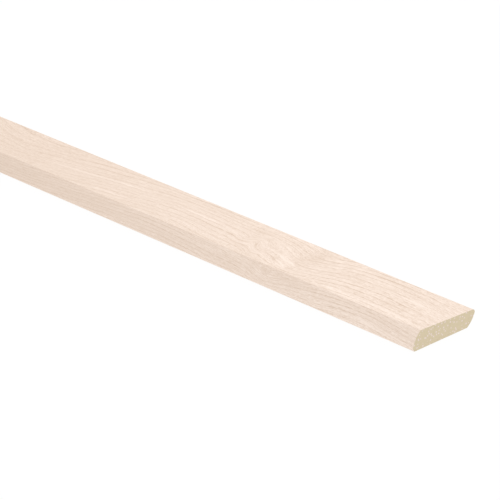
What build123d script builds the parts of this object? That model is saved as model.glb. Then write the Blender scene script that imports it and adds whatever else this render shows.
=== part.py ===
from build123d import *

import os
from math import asin, degrees, sqrt

# Flat skirting board: one length of wrapped fibreboard strip with two slanted long edges.
# The strip lies on its back with its visible face up.
# X runs along the length, Y across the width and Z through the thickness, in millimetres.
# The origin is under the middle of the strip, on the plane of its back.
# The section is a leaning bar, a little thinner towards +Y.
# On the -Y side, the top of the fixed skirting, the face is set back from the back.
# On the +Y side, which stands on the floor, the back is set back from the face by as much.
# A slanted edge is gently crowned, from a rounded nose to an eased arris at the flat it leans over.

# Driving dimensions
LENGTH = 2400.0
WIDTH = 22.0
THICKNESS = 5.0  # at the -Y edge, where the slope meets the face
FLOOR_EDGE_THICKNESS = 4.3  # at the +Y edge, from the back to the top of its nose
EDGE_SETBACK = 2.6  # across the width, from a slanted edge's nose to its arris
NOSE_RADIUS = 0.8  # rounding where a slanted edge stands furthest out
CROWN_RADIUS = 7.0  # outward curve of a slanted edge
ARRIS_RADIUS = 0.25  # easing where a slanted edge meets the flat

NODE = "skirting_board"

# Centres of the noses and corners of the arrises, with the width along x and the thickness along y
TOP_NOSE = Vector(-WIDTH / 2 + NOSE_RADIUS, NOSE_RADIUS)
TOP_ARRIS = Vector(-WIDTH / 2 + EDGE_SETBACK, THICKNESS)
FLOOR_NOSE = Vector(WIDTH / 2 - NOSE_RADIUS, FLOOR_EDGE_THICKNESS - NOSE_RADIUS)
FLOOR_ARRIS = Vector(WIDTH / 2 - EDGE_SETBACK, 0)


def flat_end(arris, nose):
    """Where the flat that starts at one edge's arris runs out onto the other edge's nose."""
    gap = nose - arris
    lean = degrees(asin(NOSE_RADIUS / gap.length))
    along = gap.normalized().rotate(Axis.Z, lean)
    return arris + along * sqrt(gap.length**2 - NOSE_RADIUS**2)


def crown_centre(nose, arris):
    """Centre of a slanted edge's arc, which wraps the nose circle and ends at the arris."""
    gap = arris - nose
    reach = CROWN_RADIUS - NOSE_RADIUS
    along = (gap.length**2 + reach**2 - CROWN_RADIUS**2) / (2 * gap.length)
    aside = sqrt(reach**2 - along**2)
    upward = gap.normalized()
    inward = upward.rotate(Axis.Z, -90)
    return nose + upward * along + inward * aside


def slanted_edge(nose_start, nose, arris):
    """A slanted edge: round its nose from the flat before it, then along its crown to the arris."""
    crown = crown_centre(nose, arris)
    nose_end = crown + (nose - crown).normalized() * CROWN_RADIUS
    return [
        RadiusArc(nose_start, nose_end, NOSE_RADIUS),
        RadiusArc(nose_end, arris, CROWN_RADIUS),
    ]


def section():
    """The strip's cross-section, from the back round the top edge, along the face and round the floor edge."""
    face_end = flat_end(TOP_ARRIS, FLOOR_NOSE)
    back_end = flat_end(FLOOR_ARRIS, TOP_NOSE)
    top_edge = slanted_edge(back_end, TOP_NOSE, TOP_ARRIS)
    floor_edge = slanted_edge(face_end, FLOOR_NOSE, FLOOR_ARRIS)
    face = Line(TOP_ARRIS, face_end)
    back = Line(FLOOR_ARRIS, back_end)
    outline = make_face(top_edge + [face] + floor_edge + [back])
    arrises = [outline.vertices().sort_by_distance(corner)[0] for corner in (TOP_ARRIS, FLOOR_ARRIS)]
    return fillet(arrises, ARRIS_RADIUS)


def skirting_board():
    """The whole strip, sawn square at both ends."""
    return extrude(Plane.YZ * section(), amount=LENGTH / 2, both=True)


os.makedirs("parts", exist_ok=True)
export_step(skirting_board(), f"parts/{NODE}.step")
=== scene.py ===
"""Dresses the flat skirting board: one wrapped fibreboard strip that lies on its back, face up.

Sizes of the strip and of its grain are millimetres, in the CAD frame; Blender's own are metres.
"""

import logging
from dataclasses import dataclass, field
from enum import Enum
from math import cos, radians, sin

import bpy
import numpy as np
from mathutils import Matrix, Vector


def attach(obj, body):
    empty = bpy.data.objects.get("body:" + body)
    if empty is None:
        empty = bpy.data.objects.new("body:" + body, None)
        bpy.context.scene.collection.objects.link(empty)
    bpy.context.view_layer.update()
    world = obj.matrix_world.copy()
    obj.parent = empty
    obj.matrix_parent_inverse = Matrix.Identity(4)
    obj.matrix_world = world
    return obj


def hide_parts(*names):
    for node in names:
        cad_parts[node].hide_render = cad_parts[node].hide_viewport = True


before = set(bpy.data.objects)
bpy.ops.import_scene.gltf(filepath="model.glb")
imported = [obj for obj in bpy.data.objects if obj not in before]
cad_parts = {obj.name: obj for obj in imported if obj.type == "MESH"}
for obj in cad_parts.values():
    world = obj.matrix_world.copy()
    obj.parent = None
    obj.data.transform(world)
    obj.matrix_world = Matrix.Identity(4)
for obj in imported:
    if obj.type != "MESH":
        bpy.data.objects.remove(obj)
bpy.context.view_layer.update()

MM = 0.001
PICTURE_SIDE = 500
FLECK_RIM = (0.2, 0.75)  # shares of a spot between which a fleck's rim rises
WELD_GRID = 1e6  # steps to a metre: corners that fall on the same step are one
MAP_MARGIN = 0.4  # round the bake's map, in millimetres
SHARP_ANGLE = 30  # degrees

log = logging.getLogger("skirting")


class Surface(Enum):
    """The two surfaces of the strip, each with its material slot's place on the mesh."""

    FOIL = 0
    FIBREBOARD = 1


def linear(red: float, green: float, blue: float) -> tuple[float, float, float, float]:
    """A colour for a shader socket.

    Args:
        red: Red as seen on a screen, 0 to 255.
        green: Green as seen on a screen, 0 to 255.
        blue: Blue as seen on a screen, 0 to 255.

    Returns:
        The same colour in linear light, with full alpha.
    """
    shown = np.array([red, green, blue]) / 255
    light = np.where(shown <= 0.04045, shown / 12.92, ((shown + 0.055) / 1.055) ** 2.4)
    return (*(float(v) for v in light), 1.0)


class Signal:
    """A number that varies over a surface: a socket on which Python's operators add Math nodes."""

    def __init__(self, shader: "Shader", socket: bpy.types.NodeSocket) -> None:
        """Wraps one output socket of a shader's node tree."""
        self.shader = shader
        self.socket = socket

    def _math(self, operation: str, *values: "Signal | float") -> "Signal":
        """Adds a Math node.

        Args:
            operation: The Math node's operation.
            values: What goes into its sockets, in order.

        Returns:
            The node's output.
        """
        return self.shader.node("ShaderNodeMath", {"operation": operation}, dict(enumerate(values)))

    def __add__(self, other: "Signal | float") -> "Signal":
        """self + other"""
        return self._math("ADD", self, other)

    __radd__ = __add__

    def __sub__(self, other: "Signal | float") -> "Signal":
        """self - other"""
        return self._math("SUBTRACT", self, other)

    def __rsub__(self, other: float) -> "Signal":
        """other - self"""
        return self._math("SUBTRACT", other, self)

    def __mul__(self, other: "Signal | float") -> "Signal":
        """self * other"""
        return self._math("MULTIPLY", self, other)

    def __truediv__(self, other: "Signal | float") -> "Signal":
        """self / other"""
        return self._math("DIVIDE", self, other)

    def exp(self) -> "Signal":
        """e to the power of self."""
        return self._math("EXPONENT", self)

    def floor(self) -> "Signal":
        """The whole number at or below self."""
        return self._math("FLOOR", self)

    def fract(self) -> "Signal":
        """What is left of self above its floor."""
        return self._math("FRACT", self)

    def wrap(self, low: float, high: float) -> "Signal":
        """Self brought between low and high by whole repeats."""
        return self._math("WRAP", self, high, low)

    def ease(self, low: float, high: float) -> "Signal":
        """A smooth step of self.

        Args:
            low: Where the step starts from 0.
            high: Where it reaches 1.

        Returns:
            The step's height, 0 to 1.
        """
        settings = {"interpolation_type": "SMOOTHSTEP"}
        return self.shader.node("ShaderNodeMapRange", settings, {0: self, 1: low, 2: high})


class Shader:
    """A material whose node tree is filled by expressions."""

    def __init__(self, name: str) -> None:
        """Makes an empty material of that name."""
        self.material = bpy.data.materials.new(name)
        self.material.use_nodes = True
        self.tree = self.material.node_tree
        self.tree.nodes.clear()

    def node(
        self,
        kind: str,
        settings: dict[str, object] | None = None,
        values: dict[str | int, object] | None = None,
        output: str | int = 0,
    ) -> Signal:
        """Adds any node.

        Args:
            kind: The node's type.
            settings: Its properties, which are set first.
            values: A number, colour or Signal for each input socket, by name or place.
            output: The output socket to hand back, by name or place.

        Returns:
            That output.
        """
        made = self.tree.nodes.new(kind)
        for name, setting in (settings or {}).items():
            setattr(made, name, setting)
        for key, value in (values or {}).items():
            if isinstance(value, Signal):
                self.tree.links.new(value.socket, made.inputs[key])
            else:
                made.inputs[key].default_value = value
        return Signal(self, made.outputs[output] if made.outputs else None)

    def vector(self, x: Signal, y: Signal) -> Signal:
        """A vector of two numbers and 0."""
        return self.node("ShaderNodeCombineXYZ", None, {0: x, 1: y})

    def parts(self, vector: Signal) -> tuple[Signal, Signal, Signal]:
        """The three numbers of a vector.

        Args:
            vector: What to take apart.

        Returns:
            Its x, y and z.
        """
        split = self.node("ShaderNodeSeparateXYZ", None, {0: vector}).socket.node
        return tuple(Signal(self, socket) for socket in split.outputs)

    def noise(self, place: Signal, dimensions: str = "2D", detail: float = 1.0) -> Signal:
        """Smooth noise about 0.5.

        Args:
            place: Where it is read; one unit is about one blotch.
            dimensions: How many of the place's numbers count.
            detail: How many finer layers are added.

        Returns:
            The noise, about 0.2 to 0.8.
        """
        values = {"Vector": place, "Scale": 1.0, "Detail": detail}
        return self.node("ShaderNodeTexNoise", {"noise_dimensions": dimensions}, values)

    def blend(self, share: Signal, first: object, second: object) -> Signal:
        """A mix of two colours.

        Args:
            share: 0 for the first, 1 for the second.
            first: A colour or Signal.
            second: A colour or Signal.

        Returns:
            The mixed colour.
        """
        settings = {"data_type": "RGBA", "clamp_factor": True}
        values = {"Factor": share, 6: first, 7: second}
        return self.node("ShaderNodeMix", settings, values, 2)

    def bump(self, height: Signal, strength: float, depth: float) -> Signal:
        """A normal tilted by a height.

        Args:
            height: The height, in units of depth.
            strength: How much of the tilt counts.
            depth: What a height of 1 is, in millimetres.

        Returns:
            The normal.
        """
        values = {"Height": height, "Strength": strength, "Distance": depth * MM}
        return self.node("ShaderNodeBump", None, values)

    def surface(self, values: dict[str, object]) -> bpy.types.Material:
        """Closes the material.

        Args:
            values: What goes into the Principled shader's sockets.

        Returns:
            The material.
        """
        shader = self.node("ShaderNodeBsdfPrincipled", None, values)
        self.node("ShaderNodeOutputMaterial", None, {"Surface": shader})
        return self.material


@dataclass(frozen=True)
class PrintSpot:
    """A soft round hill on the print, in millimetres on the unrolled foil, from the middle of a repeat."""

    along: float
    across: float
    reach_along: float
    reach_across: float
    height: float
    slope: float = 0.0  # how far across it leans for each millimetre along

    def share(self, x: Signal, v: Signal) -> Signal:
        """How much of the spot there is: exp(-(dx^2 + dv^2) / 2), with dx and dv counted in reaches.

        Args:
            x: Along the strip.
            v: Across the unrolled foil.

        Returns:
            The share, 1 in the middle.
        """
        dx = (x - self.along) / self.reach_along
        dv = (v - self.across - (x - self.along) * self.slope) / self.reach_across
        return ((dx * dx + dv * dv) * -0.5).exp()

    def hill(self, x: Signal, v: Signal) -> Signal:
        """The spot as a soft hill."""
        return self.share(x, v) * self.height

    def fleck(self, x: Signal, v: Signal) -> Signal:
        """The spot with a flat top and a crisp rim."""
        return self.share(x, v).ease(*FLECK_RIM) * self.height


@dataclass(frozen=True)
class GrainLayer:
    """Soft noise drawn out along the grain, in millimetres on the unrolled foil."""

    along: float
    across: float
    strength: float = 1.0
    shift: float = 0.0  # across, in its own widths, so that no two layers are alike

    def noise(self, x: Signal, v: Signal) -> Signal:
        """The noise about 0.5, x along the strip and v across it."""
        return x.shader.noise(x.shader.vector(x / self.along, v / self.across + self.shift))

    def swing(self, x: Signal, v: Signal) -> Signal:
        """The noise about 0, times the layer's strength."""
        return (self.noise(x, v) - 0.5) * self.strength


@dataclass(frozen=True)
class PaleOakFoil:
    """A matte foil with a print of limed oak, wrapped round the strip.

    The grain follows the levels of a field across the foil. A bend is a spot that lifts the field, so that
    the lines swerve by its height towards the near edge. A fleck and a patch are spots that make the print
    paler or darker; the broadest patch is painted shade, where the light falls off away from the sawn end.
    Bends, flecks, blurs and every patch come again with each repeat of the print.
    """

    pale: tuple[float, float, float] = (253, 235, 221)
    dark: tuple[float, float, float] = (214, 189, 167)
    ring_pitch: float = 2.4
    ring_start: float = -0.32  # shifts the rings, as a share of the pitch
    ring_draw: float = 2961.0  # picks which rings are strong
    least_weight: float = 0.42  # strength of the weakest ring's line
    weight_spread: float = 0.5  # how much stronger the strongest is
    unevenness: float = 0.6  # how far rings shift from an even pitch, as a share of it
    uneven_across: float = 6.0
    uneven_along: float = 500.0
    line_start: float = 0.64  # where a ring's line starts, as a share of the ring
    line_peak: float = 0.88
    line_strength: float = 0.36
    line_breaks: GrainLayer = GrainLayer(2.6, 0.4)
    break_limits: tuple[float, float] = (0.25, 0.6)
    break_floor: float = 0.5  # what is left of a line where it is broken
    fade_length: float = 22.0  # how far a line goes before it fades out or in
    fade_step: float = 5.3  # between the fading of one ring and the next
    fade_limits: tuple[float, float] = (0.12, 0.42)
    wander: GrainLayer = GrainLayer(95.0, 45.0, 4.0)
    ripple: GrainLayer = GrainLayer(14.0, 5.0, 1.2)
    bands: GrainLayer = GrainLayer(24.0, 2.0, 0.22, 31.0)
    streaks: GrainLayer = GrainLayer(10.0, 0.5, 0.3, 77.0)
    specks: GrainLayer = GrainLayer(2.4, 0.32, 0.6, 13.0)
    pores: GrainLayer = GrainLayer(0.9, 0.2, 0.7, 51.0)
    tone: GrainLayer = GrainLayer(260.0, 60.0, 0.2, 9.0)
    base_light: float = 0.73  # the print's middle tone, from dark to pale
    plain_strength: float = 0.9  # of the grain, away from where the print is sharpest
    streak_height: float = 0.5  # of the relief on the streaks, against that in the lines
    relief_strength: float = 0.3
    relief_depth: float = 0.05
    roughness: float = 0.62
    pale_shine: float = 0.12  # how much smoother the palest print is
    repeat: float = 640.0
    repeat_middle: float = 1152.0
    bends: tuple[PrintSpot, ...] = (
        PrintSpot(1.2, 0.0, 7.5, 9.0, 3.8),
        PrintSpot(-14.5, 0.0, 7.0, 9.0, -1.9),
        PrintSpot(27.5, 1.0, 19.0, 14.0, -5.2),
        PrintSpot(-40.0, -1.0, 14.0, 10.0, -3.0),
        PrintSpot(-112.0, 0.0, 22.0, 14.0, 9.0),
        PrintSpot(-20.3, 0.0, 1.8, 2.6, 1.3),
        PrintSpot(-16.8, 1.0, 1.8, 2.6, -1.8),
        PrintSpot(-13.4, -3.0, 1.8, 3.0, 1.3),
        PrintSpot(31.0, -16.0, 13.0, 6.0, -4.0),
        PrintSpot(-3.0, -18.0, 4.0, 4.0, 3.0),
    )
    flecks: tuple[PrintSpot, ...] = (
        PrintSpot(-3.4, -2.4, 3.2, 0.9, 0.27, -0.35),
        PrintSpot(-2.5, -5.4, 2.0, 0.75, 0.28, -0.4),
        PrintSpot(21.0, -6.9, 5.0, 0.7, 0.22),
        PrintSpot(35.0, -6.8, 7.0, 0.75, 0.22, -0.05),
        PrintSpot(17.5, 7.2, 5.0, 0.35, -0.14, 0.13),
        PrintSpot(28.0, 7.8, 6.0, 0.35, -0.16, -0.03),
        PrintSpot(36.5, 2.7, 3.0, 0.6, 0.2, -0.1),
        PrintSpot(26.5, -2.3, 3.0, 0.5, 0.15),
        PrintSpot(-39.0, 1.9, 5.0, 0.4, 0.3),
        PrintSpot(-27.0, 0.8, 3.0, 0.35, 0.24, -0.15),
        PrintSpot(-85.0, -0.6, 12.0, 0.4, 0.16, 0.16),
        PrintSpot(-67.0, 2.3, 7.0, 0.35, 0.16, 0.08),
        PrintSpot(-71.0, -5.5, 6.0, 0.45, 0.16, 0.12),
    )
    patches_and_painted_shade: tuple[PrintSpot, ...] = (
        PrintSpot(0.5, 3.5, 2.6, 4.5, -0.2),
        PrintSpot(-21.2, 5.7, 2.2, 1.0, -0.18),
        PrintSpot(5.0, -11.5, 7.0, 3.0, -0.1),
        PrintSpot(28.0, -18.0, 16.0, 4.0, 0.1),
        # painted shade: a broad darker stretch where the light falls off away from the sawn end
        PrintSpot(-112.0, 0.0, 48.0, 60.0, -0.21),
    )
    crowd: PrintSpot = PrintSpot(-50.0, 0.0, 32.0, 60.0, 0.3)  # where the lines lie closer
    clear: PrintSpot = PrintSpot(24.0, 0.0, 38.0, 60.0, 0.5)  # where the print is sharpest
    blurs: tuple[PrintSpot, ...] = (  # where its lines are lost
        PrintSpot(0.5, 4.5, 4.2, 4.5, 0.95),
        PrintSpot(0.0, -14.5, 10.0, 6.0, 0.7),
        PrintSpot(-17.0, 5.5, 5.0, 2.5, 0.6),
        PrintSpot(-105.0, 0.0, 24.0, 14.0, 0.5),
        PrintSpot(46.0, -2.0, 6.0, 16.0, 0.5),
        PrintSpot(-13.0, -1.0, 4.5, 3.4, 0.8),
    )

    def lines(self, x: Signal, g: Signal) -> Signal:
        """The dark lines of late wood, one in each ring.

        A line rises to its peak and falls to the end of its ring. Each ring's line has a strength of its
        own, fades out and in along the strip, and is broken up into short marks.

        Args:
            x: Along the strip.
            g: The field whose levels the grain follows.

        Returns:
            The lines, 0 where there is none.
        """
        shader = x.shader
        uneven = shader.noise(shader.vector(g / self.uneven_across, x / self.uneven_along))
        phase = g / self.ring_pitch + self.ring_start + uneven * self.unevenness
        ring = phase.floor()
        share = phase.fract()
        draw = {"W": ring + self.ring_draw}
        weight = shader.node("ShaderNodeTexWhiteNoise", {"noise_dimensions": "1D"}, draw)
        fading = shader.noise(shader.vector(x / self.fade_length, ring * self.fade_step))
        late_wood = share.ease(self.line_start, self.line_peak) * (1.0 - share.ease(self.line_peak, 1.0))
        breaks = self.line_breaks.noise(x, g).ease(*self.break_limits)
        lines = late_wood * (weight * self.weight_spread + self.least_weight)
        return lines * fading.ease(*self.fade_limits) * (breaks + self.break_floor)

    def material(self) -> bpy.types.Material:
        """The foil's material.

        The print lies on the unrolled foil: x along the strip, v across it, and xr along one repeat.

        Returns:
            The material.
        """
        shader = Shader("pale_oak_foil")
        wrap = shader.node("ShaderNodeAttribute", {"attribute_name": "wrap"}, None, "Vector")
        x, v, _ = shader.parts(wrap)
        xr = (x - self.repeat_middle).wrap(-self.repeat / 2, self.repeat / 2)

        g = v + self.wander.swing(x, v) + self.ripple.swing(x, v)
        for bend in self.bends:
            g = g + bend.hill(xr, v)
        g = g * (self.crowd.hill(xr, v) + 1.0)
        lines = self.lines(x, g)
        for blur in self.blurs:
            lines = lines * (1.0 - blur.hill(xr, v))

        detail = self.bands.swing(x, g) + self.streaks.swing(x, g) + self.specks.swing(x, g)
        detail = detail + self.pores.swing(x, g) - lines * self.line_strength
        strength = self.clear.hill(xr, v) + self.plain_strength
        light = self.base_light + detail * strength + self.tone.swing(x, v)
        # each patch makes the print paler or darker; the broadest one is painted shade
        for patch in self.patches_and_painted_shade:
            light = light + patch.hill(xr, v)
        for fleck in self.flecks:
            light = light + fleck.fleck(xr, v)
        colour = shader.blend(light, linear(*self.dark), linear(*self.pale))
        height = self.streaks.noise(x, g) * self.streak_height - lines
        return shader.surface(
            {
                "Base Color": colour,
                "Roughness": self.roughness - light * self.pale_shine,
                "Specular IOR Level": 0.35,
                "Normal": shader.bump(height, self.relief_strength, self.relief_depth),
            }
        )


@dataclass(frozen=True)
class RawFibreboard:
    """Bare medium-density fibreboard: even tan with darker clouds and pale dots of cut fibre."""

    tan: tuple[float, float, float] = (216, 201, 171)
    shade: tuple[float, float, float] = (206, 190, 159)
    fibre: tuple[float, float, float] = (234, 216, 208)
    fibre_spacing: float = 0.85
    fibre_size: float = 0.29  # radius of a dot, as a share of the spacing
    fibre_rim: tuple[float, float] = (0.8, 1.1)  # where a dot's rim starts and ends, in radii
    fibre_height: float = 0.5  # of a dot, as a share of the tooth
    cloud_size: float = 1.4
    cloud_layers: float = 3.0
    cloud_limits: tuple[float, float] = (0.5, 0.8)
    cloud_strength: float = 0.5
    tooth: float = 0.06  # height of the sawn surface's roughness
    tooth_strength: float = 0.25
    roughness: float = 0.95
    cloud_shine: float = 0.1  # how much smoother the densest cloud is

    def material(self) -> bpy.types.Material:
        """The fibreboard's material.

        Returns:
            The material.
        """
        shader = Shader("raw_fibreboard")
        place = shader.node("ShaderNodeTexCoord", None, None, "Object")
        spread = {"Vector": place, "Scale": 1 / (self.fibre_spacing * MM)}
        fibres = shader.node("ShaderNodeTexVoronoi", None, spread)
        rim_start, rim_end = (self.fibre_size * share for share in self.fibre_rim)
        dots = 1.0 - fibres.ease(rim_start, rim_end)
        cloudy = {0: place, "Scale": 1 / (self.cloud_size * MM)}
        cloud_place = shader.node("ShaderNodeVectorMath", {"operation": "SCALE"}, cloudy)
        clouds = shader.noise(cloud_place, "3D", self.cloud_layers)
        shade = clouds.ease(*self.cloud_limits) * self.cloud_strength
        colour = shader.blend(shade, linear(*self.tan), linear(*self.shade))
        colour = shader.blend(dots, colour, linear(*self.fibre))
        return shader.surface(
            {
                "Base Color": colour,
                "Roughness": self.roughness - clouds * self.cloud_shine,
                "Specular IOR Level": 0.2,
                "Normal": shader.bump(clouds + dots * self.fibre_height, self.tooth_strength, self.tooth),
            }
        )


@dataclass(frozen=True)
class Outline:
    """A closed outline of the section: points (y, z), first and last the same, and what lies along them."""

    points: np.ndarray
    run: np.ndarray  # distance along the points
    print_at: np.ndarray  # where the print lies across the unrolled foil, 0 in the middle of the face
    bare: np.ndarray  # which steps between points are bare fibreboard
    near: int  # the point where the near edge's nose ends
    far: int  # the point where the far edge's nose ends


@dataclass(frozen=True)
class StripSection:
    """The strip's cross-section: a leaning bar, a little thinner towards its far edge."""

    width: float = 22.0
    thickness: float = 5.0
    far_thickness: float = 4.3
    edge_setback: float = 2.6
    nose_radius: float = 0.8
    crown_radius: float = 7.0
    arris_radius: float = 0.25
    foil_return: float = 2.4  # how far the foil is carried round onto the back
    edge_closeness: float = 2.6  # how many times closer the print's lines lie on the edges
    nose_steps: int = 10
    crown_steps: int = 14
    arris_steps: int = 5

    def _arc(
        self, centre: np.ndarray, radius: float, first: np.ndarray, last: np.ndarray, steps: int
    ) -> np.ndarray:
        """Points of an arc: centre + radius * (cos a, sin a), a falling in equal steps.

        Args:
            centre: The arc's centre.
            radius: Its radius.
            first: The direction from the centre to its first point.
            last: The direction to its last point, clockwise from there.
            steps: How many steps.

        Returns:
            The points, one row each.
        """
        start = np.arctan2(first[1], first[0])
        sweep = (start - np.arctan2(last[1], last[0])) % (2 * np.pi)
        a = start - np.linspace(0, sweep, steps + 1)
        return centre + radius * np.column_stack([np.cos(a), np.sin(a)])

    def _half_flat(self, edge: np.ndarray, middle: np.ndarray, fold: float = 0.25) -> np.ndarray:
        """Points between an edge's last point and the middle of a flat, closer together at the edge.

        Args:
            edge: The edge's last point.
            middle: The middle of the flat.
            fold: One more share of the way at which there is a point.

        Returns:
            The points, without the two ends.
        """
        shares = np.array([0.01, 0.03, 0.1, fold, 0.5, 0.75])
        return edge + shares[:, None] * (middle - edge)

    def slanted_edge(
        self, before: np.ndarray, nose: np.ndarray, corner: np.ndarray, after: np.ndarray
    ) -> np.ndarray:
        """Round one edge: the nose's arc, the crown's and the arris's.

        The crown's arc holds the nose's circle inside, touches it, and passes through the corner. The
        arris's circle touches the crown's arc from inside and the next flat from within the strip.

        Args:
            before: The outward normal of the flat before the edge.
            nose: The centre of the nose.
            corner: Where the slope would meet the next flat with no easing.
            after: The outward normal of that flat.

        Returns:
            The points (y, z), clockwise.
        """
        gap = corner - nose
        apart = np.hypot(*gap)
        reach = self.crown_radius - self.nose_radius
        lift = (apart**2 + reach**2 - self.crown_radius**2) / (2 * apart)
        upward = gap / apart
        crown = nose + upward * lift + quarter_turn(upward) * np.sqrt(reach**2 - lift**2)

        inner = self.crown_radius - self.arris_radius
        depth = (crown - corner) @ after + self.arris_radius
        arris = crown - after * depth - quarter_turn(after) * np.sqrt(inner**2 - depth**2)
        return np.vstack(
            [
                self._arc(nose, self.nose_radius, before, nose - crown, self.nose_steps),
                self._arc(crown, self.crown_radius, nose - crown, arris - crown, self.crown_steps)[1:],
                self._arc(arris, self.arris_radius, arris - crown, after, self.arris_steps)[1:],
            ]
        )

    def outline(self) -> Outline:
        """The whole outline, clockwise from the middle of the back.

        It goes round the near edge, along the face, round the far edge and back. The face is the line
        through the near edge's corner that touches the far nose from above.

        Returns:
            The outline.
        """
        down = np.array([0.0, -1.0])
        near_nose = np.array([-self.width / 2 + self.nose_radius, self.nose_radius])
        near_corner = np.array([-self.width / 2 + self.edge_setback, self.thickness])
        far_nose = np.array([self.width / 2 - self.nose_radius, self.far_thickness - self.nose_radius])
        far_corner = np.array([self.width / 2 - self.edge_setback, 0.0])
        gap = far_nose - near_corner
        tilt = np.arctan2(gap[1], gap[0]) + np.arcsin(self.nose_radius / np.hypot(*gap))
        up = np.array([-np.sin(tilt), np.cos(tilt)])

        near = self.slanted_edge(down, near_nose, near_corner, up)
        far = self.slanted_edge(up, far_nose, far_corner, down)
        back_middle = np.zeros(2)
        face_middle = near_corner + quarter_turn(up) * (-near_corner[0] / up[1])
        pieces = [
            back_middle[None],
            self._half_flat(near[0], back_middle, self.foil_return / -near[0, 0])[::-1],
            near,
            self._half_flat(near[-1], face_middle),
            face_middle[None],
            self._half_flat(far[0], face_middle)[::-1],
            far,
            self._half_flat(far[-1], back_middle, self.foil_return / far[-1, 0]),
            back_middle[None],
        ]
        points = np.vstack(pieces)
        starts = np.cumsum([0] + [len(piece) for piece in pieces])
        near_start, near_end, face_at, far_start, far_end = starts[[2, 3, 4, 6, 7]]

        step = np.arange(len(points) - 1)
        on_edge = (step >= near_start) & (step < near_end - 1) | (step >= far_start) & (step < far_end - 1)
        middle = (points[:-1] + points[1:]) / 2
        bare_start, bare_end = near[0, 0] + self.foil_return, far[-1, 0] - self.foil_return
        inside = (middle[:, 0] > bare_start) & (middle[:, 0] < bare_end)
        lengths = np.hypot(*np.diff(points, axis=0).T)
        run = np.concatenate([[0], np.cumsum(lengths)])
        print_run = np.concatenate([[0], np.cumsum(lengths * np.where(on_edge, self.edge_closeness, 1))])
        return Outline(
            points,
            run,
            print_run - print_run[face_at],
            inside & (middle[:, 1] < self.arris_radius),
            int(near_start) + self.nose_steps,
            int(far_start) + self.nose_steps,
        )


@dataclass
class SkirtingBoard:
    """The whole strip: its section carried along its length and closed by two sawn ends."""

    length: float = 2400.0
    section: StripSection = field(default_factory=StripSection)
    foil: PaleOakFoil = field(default_factory=PaleOakFoil)
    core: RawFibreboard = field(default_factory=RawFibreboard)
    strips: int = 5  # the length is cut into so many strips on the bake's map
    stations_a_strip: int = 24
    rows_through_end: int = 8
    map_gap: float = 1.2  # between strips on the bake's map
    end_scale: int = 2  # how many times larger the ends are on that map
    end_spacing: float = 3.0  # between them there, in widths of the strip

    def sides(self) -> dict[str, np.ndarray]:
        """The long sides: every outline point at every station along X, P(i, j) = (x_i, y_j, z_j).

        Returns:
            Corners of each four-sided face, the print's place at them, their place on the bake's map in
            millimetres, and each face's surface.
        """
        outline = self.section.outline()
        points, run = outline.points, outline.run
        stations = np.linspace(-self.length / 2, self.length / 2, self.strips * self.stations_a_strip + 1)
        x, j = np.meshgrid(stations, np.arange(len(points)), indexing="ij")
        place = np.stack([x, points[j, 0], points[j, 1]], -1)
        wrap = np.stack([x, outline.print_at[j], np.zeros_like(x)], -1)

        strip = np.arange(len(stations) - 1) // self.stations_a_strip
        strip_length = self.length / self.strips
        start = (strip * strip_length - self.length / 2)[:, None]
        base = (strip * (run[-1] + self.map_gap))[:, None]
        low, high = run[None, :-1] + base, run[None, 1:] + base
        left, right = stations[:-1, None] - start, stations[1:, None] - start
        left, right = np.broadcast_to(left, low.shape), np.broadcast_to(right, low.shape)
        flat = np.stack(
            [np.stack(pair, -1) for pair in ((left, low), (right, low), (right, high), (left, high))], 2
        )
        surface = np.where(outline.bare, Surface.FIBREBOARD.value, Surface.FOIL.value)
        return {
            "corners": quads(place),
            "wrap": quads(wrap),
            "flat": flat.reshape(-1, 4, 2),
            "surface": np.broadcast_to(surface, low.shape).ravel(),
        }

    def end(self, side: int) -> dict[str, np.ndarray]:
        """A sawn end: straight lines from the back to the face.

        E(i, j) = back_i + (face_i - back_i) * j / rows. The outline's halves below and above the two noses
        have the same number of points.

        Args:
            side: 1 for the end at +X, -1 for the other.

        Returns:
            The same arrays as for the long sides.
        """
        outline = self.section.outline()
        loop = outline.points[:-1]
        face_half = loop[outline.near : outline.far + 1]
        back_half = np.roll(loop, -outline.far, axis=0)[: len(face_half)][::-1]
        share = np.linspace(0, 1, self.rows_through_end + 1)[None, :, None]
        grid = back_half[:, None] + (face_half - back_half)[:, None] * share
        place = np.concatenate([np.full(grid.shape[:2] + (1,), side * self.length / 2), grid], -1)
        corners = quads(place) if side > 0 else quads(place)[:, ::-1]
        place_along = self.section.width * (1 + self.end_spacing * (side > 0))
        place_across = self.strips * (outline.run[-1] + self.map_gap) + self.map_gap
        flat = corners[:, :, 1:] * self.end_scale + np.array([place_along, place_across])
        return {
            "corners": corners,
            "wrap": corners * np.array([1, 0, 0]),
            "flat": flat,
            "surface": np.full(len(corners), Surface.FIBREBOARD.value),
        }

    def build(self) -> bpy.types.Object:
        """Makes the strip, dresses it and puts it on the CAD frame.

        Returns:
            The strip.
        """
        pieces = [self.sides(), self.end(1), self.end(-1)]
        whole = {key: np.concatenate([piece[key] for piece in pieces]) for key in pieces[0]}
        whole["corners"] = whole["corners"] * MM
        strip = surface_object("board", **whole)
        self.dress(strip)
        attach(strip, "root")
        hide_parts("skirting_board")
        return strip

    def dress(self, strip: bpy.types.Object) -> None:
        """Gives the strip its two finishes, in the order of Surface."""
        strip.data.materials.append(self.foil.material())
        strip.data.materials.append(self.core.material())


def quarter_turn(direction: np.ndarray) -> np.ndarray:
    """A direction turned clockwise by a quarter."""
    return np.array([direction[1], -direction[0]])


def quads(grid: np.ndarray) -> np.ndarray:
    """The four-sided faces of a grid.

    Args:
        grid: One value, such as a place, at each row and column.

    Returns:
        That value at the four corners of each face.
    """
    around = (grid[:-1, :-1], grid[1:, :-1], grid[1:, 1:], grid[:-1, 1:])
    return np.stack(around, 2).reshape(-1, 4, grid.shape[-1])


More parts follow.
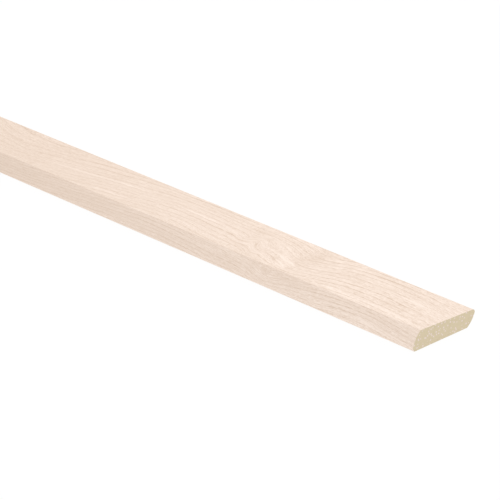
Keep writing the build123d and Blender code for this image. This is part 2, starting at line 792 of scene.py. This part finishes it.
def surface_object(
    name: str, corners: np.ndarray, wrap: np.ndarray, flat: np.ndarray, surface: np.ndarray
) -> bpy.types.Object:
    """Makes an object of four-sided faces.

    Equal corners are welded. A face that loses one so has three sides, and one that loses two is left out.

    Args:
        name: The object's name.
        corners: Each face's four corners, in metres.
        wrap: The print's place at each corner, in millimetres.
        flat: Each corner's place on the bake's map, in millimetres.
        surface: Each face's material slot.

    Returns:
        The object, with sharp edges where two faces turn by more than the sharp angle.
    """
    whole = np.round(corners.reshape(-1, 3) * WELD_GRID).astype(np.int64)
    _, first, index = np.unique(whole, axis=0, return_index=True, return_inverse=True)
    index = index.reshape(-1, 4)
    keep = index != np.roll(index, 1, axis=1)
    totals = keep.sum(1)
    solid = totals > 2
    keep &= solid[:, None]

    mesh = bpy.data.meshes.new(name)
    mesh.vertices.add(len(first))
    mesh.vertices.foreach_set("co", corners.reshape(-1, 3)[first].astype(np.float32).ravel())
    mesh.loops.add(int(keep.sum()))
    mesh.loops.foreach_set("vertex_index", index[keep].astype(np.int32))
    mesh.polygons.add(int(solid.sum()))
    ends = np.cumsum(totals[solid])
    mesh.polygons.foreach_set("loop_start", (ends - totals[solid]).astype(np.int32))
    mesh.polygons.foreach_set("material_index", surface[solid].astype(np.int32))
    mesh.polygons.foreach_set("use_smooth", np.ones(int(solid.sum()), bool))
    span = flat.reshape(-1, 2).max(0)
    uv = mesh.uv_layers.new(name="OFBake")
    on_map = (flat[keep] + MAP_MARGIN) / (span + 2 * MAP_MARGIN)
    uv.data.foreach_set("uv", on_map.astype(np.float32).ravel())
    mesh.update(calc_edges=True)
    place = mesh.attributes.new("wrap", "FLOAT_VECTOR", "CORNER")
    place.data.foreach_set("vector", wrap[keep].astype(np.float32).ravel())
    mesh.validate()
    mesh.set_sharp_from_angle(angle=radians(SHARP_ANGLE))
    made = bpy.data.objects.new(name, mesh)
    bpy.context.scene.collection.objects.link(made)
    return made


@dataclass
class StudioFloor:
    """A plain pale floor just under the strip, which glows nearly white so that hardly a shadow shows."""

    side: float = 60000.0
    drop: float = 0.2
    paint: tuple[float, float, float] = (70, 70, 70)
    glow: float = 0.945
    grid_lines: int = 9

    def build(self) -> bpy.types.Object:
        """Makes the floor: a level grid of two parameters, F(i, j) = (x_i, y_j, -drop).

        Returns:
            The floor.
        """
        lines = np.linspace(-self.side / 2, self.side / 2, self.grid_lines)
        x, y = np.meshgrid(lines, lines, indexing="ij")
        corners = quads(np.stack([x, y, np.full_like(x, -self.drop)], -1))
        slots = np.zeros(len(corners), int)
        flat = corners[:, :, :2] + self.side / 2
        floor = surface_object("studio_floor", corners * MM, corners * 0, flat, slots)
        shader = Shader("studio_white")
        floor.data.materials.append(
            shader.surface(
                {
                    "Base Color": linear(*self.paint),
                    "Roughness": 0.9,
                    "Specular IOR Level": 0.0,
                    "Emission Color": (1.0, 1.0, 1.0, 1.0),
                    "Emission Strength": self.glow,
                }
            )
        )
        return floor


@dataclass
class StudioLight:
    """Soft light all round and one wide soft panel above the far side of the strip."""

    room: float = 0.9
    panel_power: float = 19.6
    panel_side: float = 2.4
    panel_place: tuple[float, float, float] = (1.3, 1.8, 2.1)
    panel_target: tuple[float, float, float] = (1.1, 0.0, 0.0)

    def build(self) -> list[bpy.types.Object]:
        """Makes the room's even light and the panel.

        Returns:
            The panel, in a list.
        """
        world = bpy.data.worlds.new("studio")
        world.use_nodes = True
        backdrop = world.node_tree.nodes["Background"]
        backdrop.inputs["Color"].default_value = (1.0, 1.0, 1.0, 1.0)
        backdrop.inputs["Strength"].default_value = self.room
        bpy.context.scene.world = world

        panel = bpy.data.lights.new("soft_panel", "AREA")
        panel.energy = self.panel_power
        panel.size = self.panel_side
        light = bpy.data.objects.new("soft_panel", panel)
        light.location = self.panel_place
        aim = Vector(self.panel_target) - Vector(self.panel_place)
        light.rotation_euler = aim.to_track_quat("-Z", "Y").to_euler()
        bpy.context.scene.collection.objects.link(light)
        return [light]


@dataclass
class PhotoCamera:
    """The camera at the photograph's viewing angle, looking down the strip's near edge at its +X end."""

    azimuth: float = 46.17
    elevation: float = 23.8
    focal_pixels: float = 2347.0
    corner: tuple[float, float, float] = (1200.0, -8.4, 5.0)  # the near arris at the sawn end
    corner_seen: tuple[float, float, float] = (40.44, 18.96, 555.6)  # right, down and ahead of the lens

    def build(self) -> bpy.types.Object:
        """Makes the camera and hands it to the scene.

        Returns:
            The camera.
        """
        turn, tilt = radians(self.azimuth), radians(self.elevation)
        ahead = Vector((-sin(turn) * cos(tilt), cos(turn) * cos(tilt), -sin(tilt)))
        right = Vector((cos(turn), sin(turn), 0))
        up = right.cross(ahead)
        seen_right, seen_down, seen_ahead = self.corner_seen
        place = Vector(self.corner) - right * seen_right + up * seen_down - ahead * seen_ahead

        lens = bpy.data.cameras.new("photo_camera")
        lens.sensor_width = 36.0
        lens.lens = self.focal_pixels / PICTURE_SIDE * lens.sensor_width
        lens.clip_start, lens.clip_end = 0.01, 50.0
        camera = bpy.data.objects.new("photo_camera", lens)
        axes = Matrix((right, up, -ahead)).transposed().to_4x4()
        camera.matrix_world = Matrix.Translation(place * MM) @ axes
        bpy.context.scene.collection.objects.link(camera)
        bpy.context.scene.camera = camera
        return camera


def main() -> None:
    """Builds the strip and its studio, in order, and logs each piece."""
    logging.basicConfig(level=logging.INFO, format="%(name)s: %(message)s")
    bpy.context.scene.view_settings.view_transform = "Standard"
    board = SkirtingBoard().build()
    log.info("%s: %d faces", board.name, len(board.data.polygons))
    for maker in (StudioFloor(), PhotoCamera()):
        log.info("%s", maker.build().name)
    for light in StudioLight().build():
        log.info("%s", light.name)


if __name__ == "__main__":
    main()
